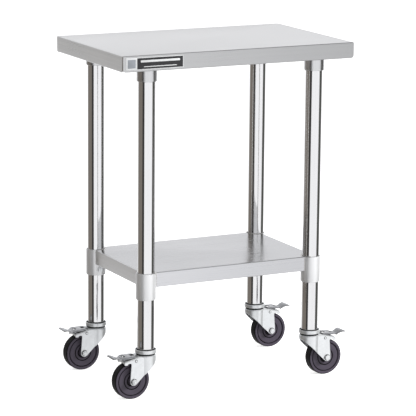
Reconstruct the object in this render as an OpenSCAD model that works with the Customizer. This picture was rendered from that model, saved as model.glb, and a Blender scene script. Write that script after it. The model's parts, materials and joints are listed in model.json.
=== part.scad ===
// Stainless steel work table on four braked swivel casters, with a height-adjustable undershelf.
// Origin on the floor under the centre of the top, +X along the length, +Y to the back, +Z up.

/* [Worktop] */
// Length of the worktop
top_w = 609.6; // [560:1:760]
// Depth of the worktop, front to back
top_d = 381; // [360:1:610]
// Height of the worktop's surface above the floor
table_h = 826; // [780:1:960]
// Height of the turned-down edge
edge_h = 38; // [32:1:44]
// Thickness of the sheet steel
sheet = 1.2; // [0.8:0.1:1.5]

/* [Legs] */
// Outside diameter of a leg tube
leg_d = 41.3; // [38:0.1:45]
// Wall of a leg tube
leg_wall = 1.2; // [1:0.1:2]
// Distance of a leg's axis from the table's centre, along the length
leg_x = 222; // [200:1:235]
// Distance of a leg's axis from the table's centre, front to back
leg_y = 143.5; // [135:0.5:150]
// Height of the lower end of a leg tube
leg_bottom_z = 119; // [119:1:125]
// Outside diameter of the top sockets and of the shelf collars
collar_d = 48; // [46.5:0.5:52]
// Height of the lower end of a top socket
socket_bottom_z = 758; // [750:1:770]

/* [Undershelf] */
// Height of the undershelf's surface
shelf_z = 301.6; // [280:1:420]
// Height of the undershelf's turned-down edge
shelf_edge_h = 35.5; // [28:0.5:40]
// Length of a shelf collar
collar_h = 63.5; // [50:0.5:80]
// How far the shelf's edges stand outside the legs' axes
shelf_overhang = 10; // [8:0.5:14]

/* [Casters] */
// Wheel diameter
wheel_d = 88.9; // [86:0.1:89.5]
// Wheel width over the tread
wheel_w = 25; // [22:1:28]
// Distance of the axle behind the swivel axis
trail = 40; // [38:0.5:42]
// How far the brake pedal's tip stands from the swivel axis
pedal_reach = 93; // [88:1:100]

/* [Hidden] */
$fn = 64;
CORNERS = ["front_left", "front_right", "back_left", "back_right"];
SIDE_X = [-1, 1, -1, 1];
SIDE_Y = [-1, -1, 1, 1];
CORNER_PARTS = ["leg_socket", "leg", "shelf_collar", "caster_stem", "caster_cup", "bearing_balls", "fork",
                "axle_bolt", "axle_nut", "wheel", "wheel_bushing", "brake_pedal", "brake_pin"];

steel = "#c4c7c9";
polished = "#d3d5d6";
zinc = "#dfe4e6";
rubber = "#3b3740";

eps = 0.01;
lip = 12;                          // width of the return lip under a turned-down edge
lip_gap = 15;                      // how far a return lip stays away from the corner
edge_r = 8;                        // rounding at the lower corners of the turned-down edges

// Channels under the worktop
under_top_z = table_h - sheet;
channel_h = 25;
channel_web = 62;                  // width of a channel's lower web
channel_w = 100;                   // width over its two welded brims
channel_z = under_top_z - channel_h;
side_channel_len = top_d - 2 * sheet - 14;

// Sockets, legs and collars
leg_r = leg_d / 2;
collar_r = collar_d / 2;
socket_bore_r = leg_r + 0.05;
shelf_bore_r = leg_r + 0.07;       // the shelf's collars slide on the legs
socket_plate_h = 3;
socket_plate = 84;
leg_top_z = channel_z - socket_plate_h;
screw_d = 8;
screw_head_d = 13;
screw_drop = 14;                   // of a socket's screw above the socket's lower end

// Undershelf
shelf_half_x = leg_x + shelf_overhang;
shelf_half_y = leg_y + shelf_overhang;

// Caster: the swivel axis is the local Z axis and the wheel trails towards +X
wheel_r = wheel_d / 2;
tread_r = 3.5;                     // rounding of the tread's shoulders
hub_r = 10;
hub_half = 17.6;
bushing_r = 8;
axle_r = 3.97;
fork_half = 21;                    // outer faces of the fork's side plates
fork_t = 2.5;
crown_r = 25;                      // radius of the fork's round head
crown_top = 103.8;
crown_bottom = 97.5;
race_ring_top = 107;
race_ring_r = 22.9;
kingpin_r = 6;
kingpin_run = 0.05;                // running clearance of the fork on the kingpin
cup_r = 26;
cup_rim_top = 115.6;
cup_rim_bottom = 108;
cup_inner_r = 23.5;
cup_under = 111.5;
ball_r = 3;
ball_ring_r = 18;
ball_z = 109.2;
groove_r = ball_r + 0.3;
ball_count = 16;
lead_z = 94.5;                     // height of the fork's lower edge under the front of its crown
fork_end_r = 9.3;                  // rounded end of a fork plate round the axle
pin_x = 34;                        // brake pin
pin_z = 94.5;
pin_r = 2;
top_plate_end = 62;                // trailing end of the fork's top plate
top_plate_end_z = 95;
top_plate_t = 2.2;
slot_x = [28, 40];                 // slots for the pedal's ears in the fork's top plate
ear_y = [8.6, 11.2];
slot_y = [8, 12];
shoe_slot_x = [48, 58];            // slot for the brake shoe
shoe_half_y = 7;
pedal_windows = [[32, 42, 5.5], [55.5, 61, 6.5]];
pedal_t = 2;

// ---------- placing ----------

// Child at each corner of the table, or at corner i alone
module at_corner(i) translate([SIDE_X[i] * leg_x, SIDE_Y[i] * leg_y, 0]) children();
module at_caster(i) at_corner(i) rotate([0, 0, SIDE_X[i] > 0 ? 0 : 180]) children();

// Extrudes an outline drawn in X and Z along Y, from y = -half to y = half
module along_y(half) translate([0, half, 0]) rotate([90, 0, 0]) linear_extrude(2 * half) children();

// Points of an arc from angle a to angle b
function arc_points(c, r, a, b, steps = 12) =
    [for (i = [0:steps]) c + r * [cos(a + (b - a) * i / steps), sin(a + (b - a) * i / steps)]];

// ---------- worktop ----------

// A turned-down edge of length w with rounded lower corners, drawn in X and Z with its top at z = 0
module edge_outline(w, h, r)
    polygon(concat([[w / 2, 0], [-w / 2, 0]],
                   arc_points([-w / 2 + r, -h + r], r, 180, 270),
                   arc_points([w / 2 - r, -h + r], r, 270, 360)));

// One edge with its return lip: along X, facing -Y, its outer face at y = 0 and its top at z = 0
module turned_edge(w, h, gap) {
    translate([0, sheet, 0]) rotate([90, 0, 0]) linear_extrude(sheet) edge_outline(w, h, edge_r);
    translate([-w / 2 + gap, eps, -h]) cube([w - 2 * gap, lip, sheet]);
}

// A shallow tray turned upside down: a sheet with four turned-down edges
module pan(w, d, h, gap) {
    translate([-w / 2, -d / 2, -sheet]) cube([w, d, sheet]);
    for (a = [0, 180]) rotate(a) translate([0, -d / 2, 0]) turned_edge(w, h, gap);
    for (a = [90, 270]) rotate(a) translate([0, -w / 2, 0]) turned_edge(d, h, gap);
}

module worktop() color(steel) translate([0, 0, table_h]) pan(top_w, top_d, edge_h, lip_gap);

// A hat channel along X: web below, two brims above
module hat_channel(len) {
    side = channel_web / 2;
    difference() {
        translate([-len / 2, -side, channel_z]) cube([len, 2 * side, channel_h]);
        translate([-len / 2 - 1, -side + sheet, channel_z + sheet]) cube([len + 2, 2 * (side - sheet), channel_h]);
    }
    for (s = [-1, 1]) translate([-len / 2, s > 0 ? side - eps : -channel_w / 2, under_top_z - sheet])
        cube([len, channel_w / 2 - side + eps, sheet]);
}

module side_channel(s) color(steel) translate([s * leg_x, 0, 0]) rotate(90) hat_channel(side_channel_len);
module centre_channel() color(steel) hat_channel(2 * (leg_x - channel_w / 2 - 2));

// A plain blank plate on the front edge
module label_plate() color("#2a2b2d")
    translate([-top_w / 2 + 8, -top_d / 2 - 0.4, table_h - edge_h / 2 - 14]) cube([146, 0.4, 28]);

// ---------- legs, sockets and collars ----------

module tube(r_out, r_in, z0, z1) difference() {
    translate([0, 0, z0]) cylinder(r = r_out, h = z1 - z0);
    translate([0, 0, z0 - 1]) cylinder(r = r_in, h = z1 - z0 + 2);
}

// The screws point at the legs from the side that faces the table's middle
module screw_hole(i, z, r) translate([0, 0, z]) rotate([SIDE_Y[i] * 90, 0, 0]) cylinder(r = r, h = collar_r + 2);

module leg_socket(i) color(steel) at_corner(i) difference() {
    union() {
        translate([0, 0, socket_bottom_z]) cylinder(r = collar_r, h = leg_top_z - socket_bottom_z + eps);
        translate([-socket_plate / 2, -socket_plate / 2, leg_top_z]) cube([socket_plate, socket_plate, socket_plate_h]);
    }
    translate([0, 0, socket_bottom_z - 1]) cylinder(r = socket_bore_r, h = leg_top_z - socket_bottom_z + 1);
    screw_hole(i, socket_bottom_z + screw_drop, screw_d / 2);
}

module leg(i) color(polished) at_corner(i) tube(leg_r, leg_r - leg_wall, leg_bottom_z, leg_top_z);

// A set screw: shank from tip_r outwards and a low hexagon head
module set_screw(tip_r) {
    rotate([90, 0, 0]) translate([0, 0, tip_r]) cylinder(r = screw_d / 2 - 0.05, h = collar_r + 1 - tip_r);
    rotate([90, 0, 0]) translate([0, 0, collar_r + 0.4]) cylinder(d = screw_head_d, h = 4.5, $fn = 6);
}

module screws(z, tip_r) for (i = [0:3])
    at_corner(i) translate([0, 0, z]) rotate([0, 0, SIDE_Y[i] > 0 ? 0 : 180]) set_screw(tip_r);

module socket_screws() color(zinc) screws(socket_bottom_z + screw_drop, leg_r);
module shelf_screws() color(zinc) screws(shelf_z - shelf_edge_h - 13, shelf_bore_r + 0.3);

module undershelf() color(steel) difference() {
    translate([0, 0, shelf_z]) pan(2 * shelf_half_x, 2 * shelf_half_y, shelf_edge_h, collar_r + shelf_overhang);
    for (i = [0:3]) at_corner(i) translate([0, 0, shelf_z - collar_h]) cylinder(r = collar_r, h = collar_h + 1);
}

module shelf_collar(i) color(steel) at_corner(i) difference() {
    tube(collar_r, shelf_bore_r, shelf_z - collar_h, shelf_z);
    screw_hole(i, shelf_z - shelf_edge_h - 13, screw_d / 2);
}

// ---------- casters ----------

// Plug inside the leg and the kingpin that the fork turns on, with its riveted lower end
module caster_stem() color(zinc) {
    translate([0, 0, leg_bottom_z]) cylinder(r = leg_r - leg_wall - 0.05, h = 36);
    translate([0, 0, crown_bottom - 1]) cylinder(r = kingpin_r, h = leg_bottom_z - crown_bottom + 1 + eps);
    translate([0, 0, crown_bottom - 6]) cylinder(r = 9.5, h = 5.6);
}

// Upper race: an inverted cup with a sloping shoulder
module caster_cup() color(zinc) difference() {
    rotate_extrude() polygon([[kingpin_r + 0.02, cup_under], [cup_inner_r, cup_under], [cup_inner_r, cup_rim_bottom],
                              [cup_r - 0.5, cup_rim_bottom], [cup_r, cup_rim_bottom + 0.5],
                              [cup_r, cup_rim_top - 0.6], [cup_r - 0.7, cup_rim_top],
                              [leg_r + 0.4, leg_bottom_z], [kingpin_r + 0.02, leg_bottom_z]]);
    rotate_extrude() translate([ball_ring_r, ball_z]) circle(r = groove_r);
}

module bearing_balls() color(zinc) for (k = [0:ball_count - 1])
    rotate(360 * k / ball_count) translate([ball_ring_r, 0, ball_z]) sphere(r = ball_r, $fn = 24);

// Angle at which the slanted leading edge meets the rounded end round the axle
lead = [-crown_r - trail, lead_z - wheel_r];
lead_angle = atan2(lead.y, lead.x) + acos(fork_end_r / norm(lead));

// Outline of the fork in X and Z: crown, sloping top, trailing lobe, axle end, slanted leading edge
fork_outline = concat(
    [[-crown_r, crown_top], [crown_r - 1, crown_top], [top_plate_end, top_plate_end_z],
     [top_plate_end + 2.5, top_plate_end_z - 3], [top_plate_end + 1, 87.2], [57.5, 86.4], [54.5, 89.4],
     [trail + 9, 90.2], [trail + 5.8, 87]],
    arc_points([trail, wheel_r], fork_end_r, 0, lead_angle - 360),
    [[-crown_r, lead_z]]);

// The hollow between the plates: below the crown and below the sloping top plate
fork_hollow = [[-crown_r - 1, 20], [-crown_r - 1, crown_bottom], [crown_r - 3, crown_bottom],
               [crown_r - 3, crown_top - top_plate_t - 0.3], [crown_r, crown_top - top_plate_t - 0.5],
               [top_plate_end - 2, top_plate_end_z - top_plate_t + 0.2],
               [top_plate_end + 0.2, top_plate_end_z - 4], [top_plate_end + 10, top_plate_end_z - 6],
               [top_plate_end + 10, 20]];

// A side outline made solid: a round head about the swivel axis and a straight part towards +X
module round_head(outline, half, r) intersection() {
    along_y(r + 1) polygon(outline);
    union() {
        cylinder(r = r, h = crown_top + 1);
        translate([0, -half, 0]) cube([100, 2 * half, crown_top + 1]);
    }
}

// Pressed fork: two side plates that run out of a round head, whose skirt closes the front
module fork() color(zinc) difference() {
    union() {
        round_head(fork_outline, fork_half, crown_r);
        translate([0, 0, crown_top - 0.8]) cylinder(r = race_ring_r, h = race_ring_top - crown_top + 0.8);
    }
    round_head(fork_hollow, fork_half - fork_t, crown_r - fork_t);
    translate([0, 0, crown_bottom - 1]) cylinder(r = kingpin_r + kingpin_run, h = 20);
    rotate_extrude() translate([ball_ring_r, ball_z]) circle(r = groove_r);
    along_y(fork_half + 1) translate([trail, wheel_r]) circle(r = axle_r + 0.03);
    along_y(fork_half + 1) translate([pin_x, pin_z]) circle(r = pin_r + 0.02);
    for (s = [-1, 1]) translate([slot_x[0], s > 0 ? slot_y[0] : -slot_y[1], pin_z])
        cube([slot_x[1] - slot_x[0], slot_y[1] - slot_y[0], 20]);
    translate([shoe_slot_x[0], -shoe_half_y - 1, wheel_r * 2])
        cube([shoe_slot_x[1] - shoe_slot_x[0], 2 * shoe_half_y + 2, 20]);
}

// Bolt along Y with a hexagon head at the -Y side
module axle_bolt() color(zinc) translate([trail, 0, wheel_r]) rotate([90, 0, 0]) {
    translate([0, 0, -fork_half - 8]) cylinder(r = axle_r, h = 2 * fork_half + 8 + eps);
    translate([0, 0, fork_half]) cylinder(r = 7.6, h = 1.2);
    translate([0, 0, fork_half + 1.2 - eps]) cylinder(d = 14.4, h = 4.6, $fn = 6);
}

module axle_nut() color(zinc) translate([trail, 0, wheel_r]) rotate([-90, 0, 0]) difference() {
    translate([0, 0, fork_half]) union() {
        cylinder(r = 7.6, h = 1.2);
        translate([0, 0, 1.2 - eps]) cylinder(d = 14.4, h = 5, $fn = 6);
    }
    translate([0, 0, fork_half - 1]) cylinder(r = axle_r + 0.02, h = 10);
}

// Half of a wheel's face from the bore outwards, as radius and height: hub, boss ring, web, groove, rim ring
wheel_face = [[bushing_r, hub_half], [hub_r, hub_half], [hub_r + 0.6, 6.5], [13.6, 6.5], [14.4, 12], [19, 12],
              [19.8, 9.8], [21.3, 9.8], [22, 11.2], [wheel_r - 10, 11.2], [wheel_r - 9.4, 9], [wheel_r - 7.9, 9],
              [wheel_r - 7.1, wheel_w / 2]];
wheel_outline = concat(
    wheel_face,
    arc_points([wheel_r - tread_r, wheel_w / 2 - tread_r], tread_r, 90, 0, 6),
    arc_points([wheel_r - tread_r, -wheel_w / 2 + tread_r], tread_r, 0, -90, 6),
    [for (i = [len(wheel_face) - 1:-1:0]) [wheel_face[i].x, -wheel_face[i].y]]);

module wheel() color(rubber) translate([trail, 0, wheel_r]) rotate([90, 0, 0]) rotate_extrude()
    polygon(wheel_outline);

// Plain bearing pressed into the hub, turning on the axle bolt
module wheel_bushing() color(steel) translate([trail, 0, wheel_r]) rotate([90, 0, 0]) difference() {
    cylinder(r = bushing_r, h = 2 * hub_half + 0.8, center = true);
    cylinder(r = axle_r + 0.06, h = 3 * hub_half, center = true);
}

// Side outline of the pedal's pressed sheet in X and Z, drawn at the given thickness
pedal_line = [[29, 105.2], [59, 104.2], [65, 100.6], [69, 100.2], [76, 102.6], [84, 105.4], [pedal_reach, 104.4]];
module pedal_sheet() polygon(concat(pedal_line, [for (i = [len(pedal_line) - 1:-1:0]) pedal_line[i] - [0, pedal_t]]));

// Plan of the pedal: a plate as wide as the fork, a neck, and a flared tip
pedal_plan = [[29, -18], [60, -20.5], [66, -19], [71, -14], [79, -15.5], [pedal_reach, -20.5],
              [pedal_reach, 20.5], [79, 15.5], [71, 14], [66, 19], [60, 20.5], [29, 18]];

// Outline of a skirt down each side of the plate, and of an ear that hangs on the brake pin
skirt = [[30, 104], [58, 103.4], [62, 101.9], [57, 101.6], [40, 101.4], [30, 103.2]];
ear = concat([[30.4, 104], [30.4, pin_z]], arc_points([pin_x, pin_z], 3.6, 180, 360), [[37.6, 104]]);
shoe = [[50.5, 103.4], [50.5, 92.4], [52, 91.6], [55.5, 91.6], [55.5, 103.2]];

module brake_pedal() color("#a9adb0") difference() {
    union() {
        intersection() {
            along_y(24) pedal_sheet();
            linear_extrude(120) polygon(pedal_plan);
        }
        for (s = [-1, 1]) {
            translate([0, s * 16.5, 0]) along_y(0.9) polygon(skirt);
            translate([0, s * (ear_y[0] + ear_y[1]) / 2, 0]) along_y((ear_y[1] - ear_y[0]) / 2) polygon(ear);
        }
        along_y(shoe_half_y) polygon(shoe);
    }
    along_y(30) translate([pin_x, pin_z]) circle(r = pin_r + 0.05);
    for (w = pedal_windows) translate([w[0], -w[2], 101.6]) cube([w[1] - w[0], 2 * w[2], 6]);
}

module brake_pin() color(zinc) translate([pin_x, 0, pin_z]) rotate([90, 0, 0]) {
    cylinder(r = pin_r, h = 2 * fork_half + 0.4, center = true);
    for (s = [-1, 1]) translate([0, 0, s * (fork_half + 0.7)]) cylinder(r = 3.6, h = 1.4, center = true);
}

// ---------- the table ----------

worktop();
side_channel(-1);  // side_channel_left
side_channel(1);  // side_channel_right
centre_channel();
socket_screws();
label_plate();
undershelf();
shelf_screws();
for (i = [0:3]) {
    leg_socket(i);
    leg(i);
    shelf_collar(i);
    at_caster(i) caster_stem();
    at_caster(i) caster_cup();
    at_caster(i) bearing_balls();
    at_caster(i) fork();
    at_caster(i) axle_bolt();
    at_caster(i) axle_nut();
    at_caster(i) wheel();
    at_caster(i) wheel_bushing();
    at_caster(i) brake_pedal();
    at_caster(i) brake_pin();
}
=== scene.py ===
"""Stainless work table on four braked casters: the looks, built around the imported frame.

Lengths in the modelling functions are millimetres, and mesh_from() turns them into metres.
"""
import json
import math
import bpy
import bmesh
from mathutils import Matrix, Vector


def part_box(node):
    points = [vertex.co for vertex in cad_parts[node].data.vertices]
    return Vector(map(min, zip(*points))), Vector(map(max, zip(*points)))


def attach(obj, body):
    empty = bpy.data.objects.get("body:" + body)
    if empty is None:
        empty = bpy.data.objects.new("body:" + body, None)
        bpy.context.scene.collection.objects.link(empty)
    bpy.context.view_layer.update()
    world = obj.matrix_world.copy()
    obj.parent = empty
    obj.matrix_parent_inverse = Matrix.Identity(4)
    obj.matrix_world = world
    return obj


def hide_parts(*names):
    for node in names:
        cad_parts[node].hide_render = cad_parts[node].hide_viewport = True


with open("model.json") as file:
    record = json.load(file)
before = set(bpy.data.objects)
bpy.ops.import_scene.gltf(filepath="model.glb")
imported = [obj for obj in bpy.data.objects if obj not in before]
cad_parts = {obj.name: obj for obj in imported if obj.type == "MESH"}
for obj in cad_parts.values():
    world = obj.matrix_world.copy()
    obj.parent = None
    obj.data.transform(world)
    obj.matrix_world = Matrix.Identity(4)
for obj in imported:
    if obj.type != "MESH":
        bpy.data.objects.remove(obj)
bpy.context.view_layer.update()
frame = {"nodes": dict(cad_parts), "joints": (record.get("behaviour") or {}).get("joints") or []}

MM = 0.001
CORNERS = ("front_left", "front_right", "back_left", "back_right")
JOINTS = {j["name"]: j for j in frame["joints"]}


# ---------------------------------------------------------------- outlines

def arc(cx, cy, r, a, b, steps=6):
    """Points of an arc from angle a to angle b, in degrees."""
    angles = [math.radians(a + (b - a) * i / steps) for i in range(steps + 1)]
    return [(cx + r * math.cos(t), cy + r * math.sin(t)) for t in angles]


def filleted(corners, closed=True, steps=4):
    """Rounds an outline: each corner is (x, y, radius)."""
    points = []
    count = len(corners)
    for i, (x, y, r) in enumerate(corners):
        if r <= 0 or (not closed and i in (0, count - 1)):
            points.append((x, y))
            continue
        here = Vector((x, y))
        before = Vector(corners[i - 1][:2]) - here
        after = Vector(corners[(i + 1) % count][:2]) - here
        turn = before.angle(after)
        reach = r / math.tan(turn / 2)
        reach = min(reach, 0.49 * before.length, 0.49 * after.length)
        r = reach * math.tan(turn / 2)
        centre = here + (before.normalized() + after.normalized()).normalized() * (r / math.sin(turn / 2))
        start = here + before.normalized() * reach - centre
        end = here + after.normalized() * reach - centre
        sweep = start.angle_signed(end)
        for k in range(steps + 1):
            points.append(tuple(centre + Matrix.Rotation(-sweep * k / steps, 2) @ start))
    return points


def rectangle(x0, x1, y0, y1, r, steps=4):
    """Outline of a rectangle with rounded corners."""
    return filleted([(x0, y0, r), (x1, y0, r), (x1, y1, r), (x0, y1, r)], steps=steps)


def mix(a, b, t):
    return a + (b - a) * t


def along(table, x, eased=False):
    """The value at x of a table of (x, value): in straight lines between its points, or eased."""
    for (x0, v0), (x1, v1) in zip(table, table[1:]):
        if x <= x1:
            t = max(0.0, (x - x0) / (x1 - x0))
            return mix(v0, v1, t * t * (3 - 2 * t) if eased else t)
    return table[-1][1]


# ---------------------------------------------------------------- meshes

def mesh_from(name, verts, faces, kinds=None):
    """A mesh in metres from points in millimetres. kinds gives each face's material index."""
    bm = bmesh.new()
    points = [bm.verts.new((x * MM, y * MM, z * MM)) for x, y, z in verts]
    for i, face in enumerate(faces):
        try:
            made = bm.faces.new([points[k] for k in face])
        except ValueError:
            continue
        made.material_index = kinds[i] if kinds else 0
    bmesh.ops.remove_doubles(bm, verts=bm.verts, dist=2e-7)
    bmesh.ops.dissolve_degenerate(bm, edges=bm.edges, dist=1e-7)
    bmesh.ops.recalc_face_normals(bm, faces=bm.faces)
    mesh = bpy.data.meshes.new(name)
    bm.to_mesh(mesh)
    bm.free()
    return mesh


def smoothed(mesh, angle=32):
    """Smooth shading, with edges sharper than angle kept crisp."""
    for face in mesh.polygons:
        face.use_smooth = True
    mesh.set_sharp_from_angle(angle=math.radians(angle))
    return mesh


def lathe(name, outline, segments=96, kinds=None):
    """Turns an outline of (radius, height) about Z.

    An outline that starts and ends on the axis is closed by it, and any other is closed on itself.
    """
    on_axis = outline[0][0] < 1e-9 and outline[-1][0] < 1e-9
    verts, rings = [], []
    for r, z in outline:
        if r < 1e-9:
            rings.append([len(verts)] * segments)
            verts.append((0, 0, z))
            continue
        rings.append([len(verts) + k for k in range(segments)])
        for k in range(segments):
            t = 2 * math.pi * k / segments
            verts.append((r * math.cos(t), r * math.sin(t), z))
    faces, face_kinds = [], []
    last = len(rings) - 1 if on_axis else len(rings)
    for i in range(last):
        a, b = rings[i], rings[(i + 1) % len(rings)]
        for k in range(segments):
            n = (k + 1) % segments
            face = [a[k], a[n], b[n], b[k]]
            face = [v for j, v in enumerate(face) if v not in face[:j]]
            if len(face) > 2:
                faces.append(face)
                face_kinds.append(kinds[i] if kinds else 0)
    return mesh_from(name, verts, faces, face_kinds)


def marked(outline, test):
    """Material index 1 for each stretch of an outline whose two ends pass the test, and 0 for the others."""
    ends = zip(outline, outline[1:] + outline[:1])
    return [1 if test(*a) and test(*b) else 0 for a, b in ends]


def loft(name, rings):
    """A closed skin over rings of equal count, with a cap on each end."""
    size = len(rings[0])
    verts = [p for ring in rings for p in ring]
    faces = [[(i + j) * size + (k + s) % size for j, s in ((0, 0), (0, 1), (1, 1), (1, 0))]
             for i in range(len(rings) - 1) for k in range(size)]
    faces += [list(range(size)), list(range(len(verts) - size, len(verts)))]
    return mesh_from(name, verts, faces)


def inset(outline, amount):
    """Moves a closed outline inwards, by the mitre at each point."""
    area = sum(x0 * y1 - x1 * y0 for (x0, y0), (x1, y1) in zip(outline, outline[1:] + outline[:1]))
    side = 1 if area > 0 else -1
    points = []
    for i, (x, y) in enumerate(outline):
        before = (Vector((x, y)) - Vector(outline[i - 1])).normalized()
        after = (Vector(outline[(i + 1) % len(outline)]) - Vector((x, y))).normalized()
        n0 = Vector((-before.y, before.x)) * side
        n1 = Vector((-after.y, after.x)) * side
        mitre = (n0 + n1).normalized()
        widest = max(0.3, mitre.dot(n0))
        points.append((x + mitre.x * amount / widest, y + mitre.y * amount / widest))
    return points


def plate(name, outline, low, high, edge=0.4, plane="XY", steps=3):
    """An outline pulled from low to high along the axis that its plane leaves, with edges rounded by edge."""
    turns = [math.radians(90 * k / steps) for k in range(steps + 1)]
    rings = [(inset(outline, edge * (1 - math.sin(t))), low + edge * (1 - math.cos(t))) for t in turns]
    rings += [(inset(outline, edge * (1 - math.cos(t))), high - edge * (1 - math.sin(t))) for t in turns]
    if plane == "XZ":
        return loft(name, [[(x, h, y) for x, y in ring] for ring, h in rings])
    return loft(name, [[(x, y, h) for x, y in ring] for ring, h in rings])


def in_scene(name, data):
    """A new object with the data, linked to the scene."""
    obj = bpy.data.objects.new(name, data)
    bpy.context.scene.collection.objects.link(obj)
    return obj


def solid(name, operations):
    """Joins, cuts and trims meshes in turn: operations is [mesh, (kind, mesh), ...]."""
    body = in_scene(name + "_work", operations[0])
    others = []
    for kind, mesh in operations[1:]:
        other = in_scene(name + "_tool", mesh)
        others.append(other)
        step = body.modifiers.new(kind, "BOOLEAN")
        step.operation, step.solver, step.object = kind, "EXACT", other
    made = evaluated(body, name)
    for other in [body] + others:
        bpy.data.objects.remove(other)
    return made


def evaluated(obj, name):
    """The object's mesh with its modifiers applied."""
    bpy.context.view_layer.update()
    graph = bpy.context.evaluated_depsgraph_get()
    mesh = bpy.data.meshes.new_from_object(obj.evaluated_get(graph), preserve_all_data_layers=True,
                                           depsgraph=graph)
    mesh.name = name
    return mesh


def softened(mesh, width=0.35, segments=2, angle=40):
    """Rounds the mesh's sharp edges by a small bevel."""
    obj = in_scene("soften_work", mesh)
    bevel = obj.modifiers.new("bevel", "BEVEL")
    bevel.width, bevel.segments = width * MM, segments
    bevel.limit_method, bevel.angle_limit = "ANGLE", math.radians(angle)
    made = evaluated(obj, mesh.name)
    bpy.data.objects.remove(obj)
    return made


def moved(mesh, matrix):
    """A copy of the mesh, moved by the matrix. A mirrored copy keeps its faces outwards."""
    mesh = mesh.copy()
    mesh.transform(matrix)
    if matrix.determinant() < 0:
        mesh.flip_normals()
    return mesh


def joined(name, meshes):
    """Several meshes as one, each a separate solid."""
    bm = bmesh.new()
    for mesh in meshes:
        bm.from_mesh(mesh)
    made = bpy.data.meshes.new(name)
    bm.to_mesh(made)
    bm.free()
    return made


# ---------------------------------------------------------------- materials

def adder(tree):
    """A function that adds a node to the tree.

    Its settings are the node's properties or inputs. A link is named after its input, or i and its number.
    """
    def add(kind, settings=None, **links):
        made = tree.nodes.new(kind)
        for key, value in (settings or {}).items():
            if isinstance(key, str) and hasattr(made, key):
                setattr(made, key, value)
            else:
                made.inputs[key].default_value = value
        for key, source in links.items():
            key = int(key[1:]) if key[0] == "i" and key[1:].isdigit() else key.replace("_", " ")
            tree.links.new(source, made.inputs[key])
        return made

    return add


def shader(name):
    """A new material: returns it, a function that adds a node, and its place in the object's own frame."""
    material = bpy.data.materials.new(name)
    material.use_nodes = True
    add = adder(material.node_tree)
    return material, add, add("ShaderNodeTexCoord").outputs["Object"]


def finished(material, add, colour, rough, height, bump, depth, metal=0.0):
    """Links a material's colour, its roughness and its bump, and sets how metallic it is."""
    tree = material.node_tree
    principled = tree.nodes["Principled BSDF"]
    normal = add("ShaderNodeBump", {"Strength": bump, "Distance": depth}, Height=height).outputs[0]
    for socket, source in (("Base Color", colour), ("Roughness", rough), ("Normal", normal)):
        tree.links.new(source, principled.inputs[socket])
    principled.inputs["Metallic"].default_value = metal
    return material


def grain_noise(add, place, scale, detail=3.0, roughness=0.55):
    """Noise stretched by a scale for each axis, in noise cells per metre."""
    mapping = add("ShaderNodeMapping", {"Scale": scale}, Vector=place)
    return add("ShaderNodeTexNoise", {"Scale": 1.0, "Detail": detail, "Roughness": roughness},
               Vector=mapping.outputs[0]).outputs["Fac"]


def ranged(add, value, low, high, start=0.3, end=0.7):
    """Maps a value from start..end to low..high."""
    return add("ShaderNodeMapRange", {1: start, 2: end, 3: low, 4: high}, Value=value).outputs[0]


def two_tones(add, share, colour, down, up):
    """A blend by share from a darker to a lighter tone of a colour: down and up are parts of it."""
    dark = tuple(c * (1 - down) for c in colour) + (1.0,)
    light = tuple(min(1.0, c * (1 + up)) for c in colour) + (1.0,)
    return add("ShaderNodeMix", {"data_type": "RGBA", 6: dark, 7: light}, i0=share).outputs[2]


def steel(name, colour, rough, grain, spread=0.05, streak=0.04, bump=0.05, right_end_shade=1.0, metal=1.0):
    """Sheet or tube steel. grain is the brushing: noise cells per metre along X, Y and Z.

    Its colour is scaled down towards the right end of the face, to the given share there: a painted shade.
    """
    material, add, place = shader(name)
    fine = grain_noise(add, place, grain)
    coarse = grain_noise(add, place, tuple(g / 6 for g in grain), detail=2.0)
    patch = grain_noise(add, place, (6.0, 6.0, 6.0), detail=2.0)
    both = add("ShaderNodeMath", {"operation": "ADD"}, i0=fine, i1=coarse).outputs[0]
    all_three = add("ShaderNodeMath", {"operation": "ADD"}, i0=both, i1=patch).outputs[0]
    low, high = 1.15, 1.85      # where nearly all of the sum of three noises lies
    tones = two_tones(add, ranged(add, all_three, 0.0, 1.0, low, high), colour, streak, streak)
    parts = add("ShaderNodeSeparateXYZ", None, i0=place)
    # painted shade: the colour darkens towards the right end of the face
    shaded_tones = add("ShaderNodeVectorMath", {"operation": "SCALE"}, i0=tones,
                 Scale=ranged(add, parts.outputs[0], 1.0, right_end_shade, -0.3, 0.3)).outputs[0]
    shine = ranged(add, all_three, rough - spread, rough + spread, low, high)
    return finished(material, add, shaded_tones, shine, both, bump, 0.0001, metal)


def zinc(name, colour, rough, mottling=0.10, metal=1.0):
    """Bright zinc plating: slightly blue, with a soft mottling of its crystals and handling marks."""
    material, add, place = shader(name)
    crystals = add("ShaderNodeTexVoronoi", {"Scale": 420.0, "feature": "SMOOTH_F1"}, Vector=place)
    cloud = grain_noise(add, place, (90.0, 90.0, 90.0), detail=4.0)
    rub = grain_noise(add, place, (60.0, 60.0, 700.0), detail=2.0)
    mixed = add("ShaderNodeMath", {"operation": "MULTIPLY_ADD", 1: 0.35}, i0=crystals.outputs["Color"],
                i2=cloud).outputs[0]
    tones = two_tones(add, ranged(add, mixed, 0.0, 1.0, 0.45, 0.9), colour, mottling, mottling * 0.6)
    shine = ranged(add, rub, rough - 0.05, rough + 0.08)
    return finished(material, add, tones, shine, mixed, 0.08, 0.0002, metal)


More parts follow.
